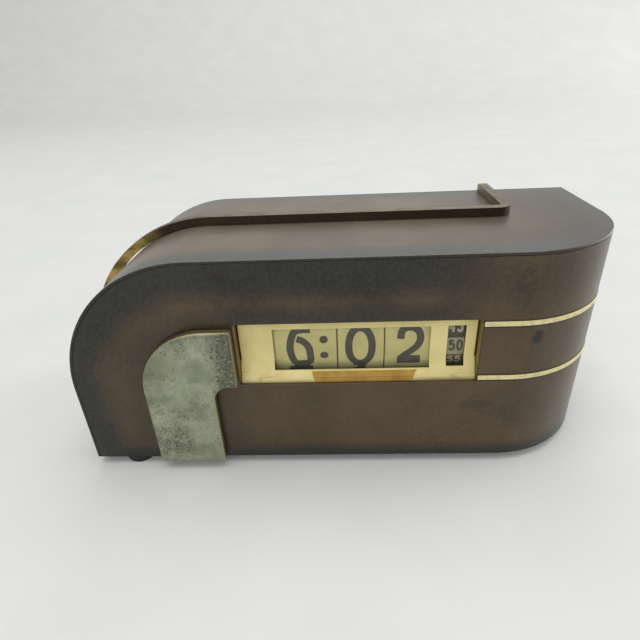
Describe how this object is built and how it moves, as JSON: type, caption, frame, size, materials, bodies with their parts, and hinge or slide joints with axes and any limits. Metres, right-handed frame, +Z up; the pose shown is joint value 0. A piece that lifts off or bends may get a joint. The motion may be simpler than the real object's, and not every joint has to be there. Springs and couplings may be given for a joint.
{
  "type": "electric number-drum clock",
  "caption": "Streamlined electric shelf clock with rolling number drums behind a slot window, a rounded sheet-metal case, a plated fender and a square handle bar.",
  "frame": {"origin": "middle of the clock's footprint, at the underside of its feet", "axes": "+Z up, +X to the right along the front, front face toward -Y"},
  "size_m": [0.2024, 0.0822, 0.0889],
  "materials": {
    "bronze_front": "patinated bronze sheet with dark bands",
    "bronze_top": "patinated bronze sheet, lighter",
    "worn_plating": "worn silver plating, pitted",
    "bar_brass": "old brass with dark patches",
    "trim_brass": "pale polished brass",
    "sleeve_brass": "dull brass",
    "dark_steel": "blackened steel",
    "steel": "satin",
    "rubber": "matte",
    "clear_sheet": "clear sheet",
    "mask_cream": "aged cream paint",
    "amber_strip": "aged amber strip, blank",
    "drum_cream": "aged cream paint with dark numerals",
    "drum_black": "matte black with pale and dark numerals",
    "gear_brass": "machined",
    "copper": "copper plated",
    "coil_tape": "varnished tape"
  },
  "bodies": {
    "case": {"front_panel": "bronze_front", "top_panel": "bronze_top", "base_plate": "dark_steel", "back_cover": "dark_steel", "cover_bracket_left": "steel", "cover_bracket_right": "steel", "cover_screw_1": "steel", "cover_screw_2": "steel", "cover_screw_3": "steel", "cover_screw_4": "steel", "cord_grommet": "rubber", "foot_1": "rubber", "foot_2": "rubber", "foot_3": "rubber", "foot_4": "rubber", "fender_plate": "worn_plating", "fender_nut": "gear_brass", "handle_bar": "bar_brass", "handle_spacer": "bar_brass", "handle_screw_1": "steel", "handle_screw_2": "steel", "handle_screw_3": "steel", "trim_line_upper": "trim_brass", "trim_line_lower": "trim_brass", "display_sleeve": "sleeve_brass", "window_lens": "clear_sheet", "dial_mask": "mask_cream", "amber_strip": "amber_strip", "frame_plate_left": "steel", "frame_plate_middle": "steel", "frame_plate_right": "steel", "frame_post_1": "gear_brass", "frame_post_2": "gear_brass", "frame_post_3": "gear_brass", "frame_post_4": "gear_brass", "frame_screw_1": "steel", "frame_screw_2": "steel", "drum_shaft": "steel", "hours_transfer_arm": "steel", "tens_transfer_arm": "steel", "seconds_bush_middle": "gear_brass", "seconds_bush_right": "gear_brass", "motor_gear_case": "copper", "motor_rotor_can": "copper", "motor_field_stack": "dark_steel", "motor_coil": "coil_tape", "motor_post_1": "gear_brass", "motor_post_2": "gear_brass"},
    "hours": {"hour_drum": "drum_cream"},
    "tens": {"tens_drum": "drum_cream"},
    "minutes": {"minute_drum": "drum_cream"},
    "seconds": {"seconds_shaft": "steel", "seconds_drum": "drum_black", "seconds_gear": "gear_brass"},
    "seconds_idler": {"seconds_idler": "gear_brass"},
    "tens_pinion": {"tens_transfer_pinion": "gear_brass"},
    "hours_pinion": {"hours_transfer_pinion": "gear_brass"},
    "setting_idler": {"setting_idler": "gear_brass"},
    "setting_wheel": {"setting_wheel": "gear_brass"},
    "motor_output": {"motor_pinion": "gear_brass"}
  },
  "joints": [
    {"name": "minutes_turn", "type": "hinge", "parent": "case", "child": "minutes", "pos_m": [0.02678, 0.00075, 0.0489], "axis": [1, 0, 0], "continuous": true},
    {"name": "tens_turn", "type": "hinge", "parent": "case", "child": "tens", "pos_m": [0.00978, 0.00075, 0.0489], "axis": [1, 0, 0], "continuous": true},
    {"name": "hours_turn", "type": "hinge", "parent": "case", "child": "hours", "pos_m": [-0.01022, 0.00075, 0.0489], "axis": [1, 0, 0], "continuous": true},
    {"name": "seconds_turn", "type": "hinge", "parent": "case", "child": "seconds", "pos_m": [0.04478, -0.01775, 0.0481], "axis": [1, 0, 0], "continuous": true},
    {"name": "seconds_idler_turn", "type": "hinge", "parent": "case", "child": "seconds_idler", "pos_m": [0.03612, -0.01079, 0.04076], "axis": [1, 0, 0], "continuous": true},
    {"name": "tens_pinion_turn", "type": "hinge", "parent": "case", "child": "tens_pinion", "pos_m": [0.01477, -0.01537, 0.0489], "axis": [1, 0, 0], "continuous": true},
    {"name": "hours_pinion_turn", "type": "hinge", "parent": "case", "child": "hours_pinion", "pos_m": [-0.00222, -0.01537, 0.0489], "axis": [1, 0, 0], "continuous": true},
    {"name": "setting_idler_turn", "type": "hinge", "parent": "case", "child": "setting_idler", "pos_m": [0.03612, 0.01674, 0.05501], "axis": [1, 0, 0], "continuous": true},
    {"name": "setting_wheel_turn", "type": "hinge", "parent": "case", "child": "setting_wheel", "pos_m": [0.04177, 0.02835, 0.0489], "axis": [1, 0, 0], "continuous": true},
    {"name": "motor_output_turn", "type": "hinge", "parent": "case", "child": "motor_output", "pos_m": [0.05357, 0.00487, 0.0481], "axis": [1, 0, 0], "continuous": true}
  ],
  "couplings": [
    {"joint": "tens_turn", "follows": "minutes_turn", "ratio": 0.083333},
    {"joint": "hours_turn", "follows": "minutes_turn", "ratio": 0.013889},
    {"joint": "seconds_turn", "follows": "minutes_turn", "ratio": 10},
    {"joint": "seconds_idler_turn", "follows": "minutes_turn", "ratio": -2.5},
    {"joint": "tens_pinion_turn", "follows": "minutes_turn", "ratio": -0.25},
    {"joint": "hours_pinion_turn", "follows": "minutes_turn", "ratio": -0.041667},
    {"joint": "setting_idler_turn", "follows": "minutes_turn", "ratio": -1.4286},
    {"joint": "setting_wheel_turn", "follows": "minutes_turn", "ratio": 1.6667},
    {"joint": "motor_output_turn", "follows": "minutes_turn", "ratio": -20}
  ]
}
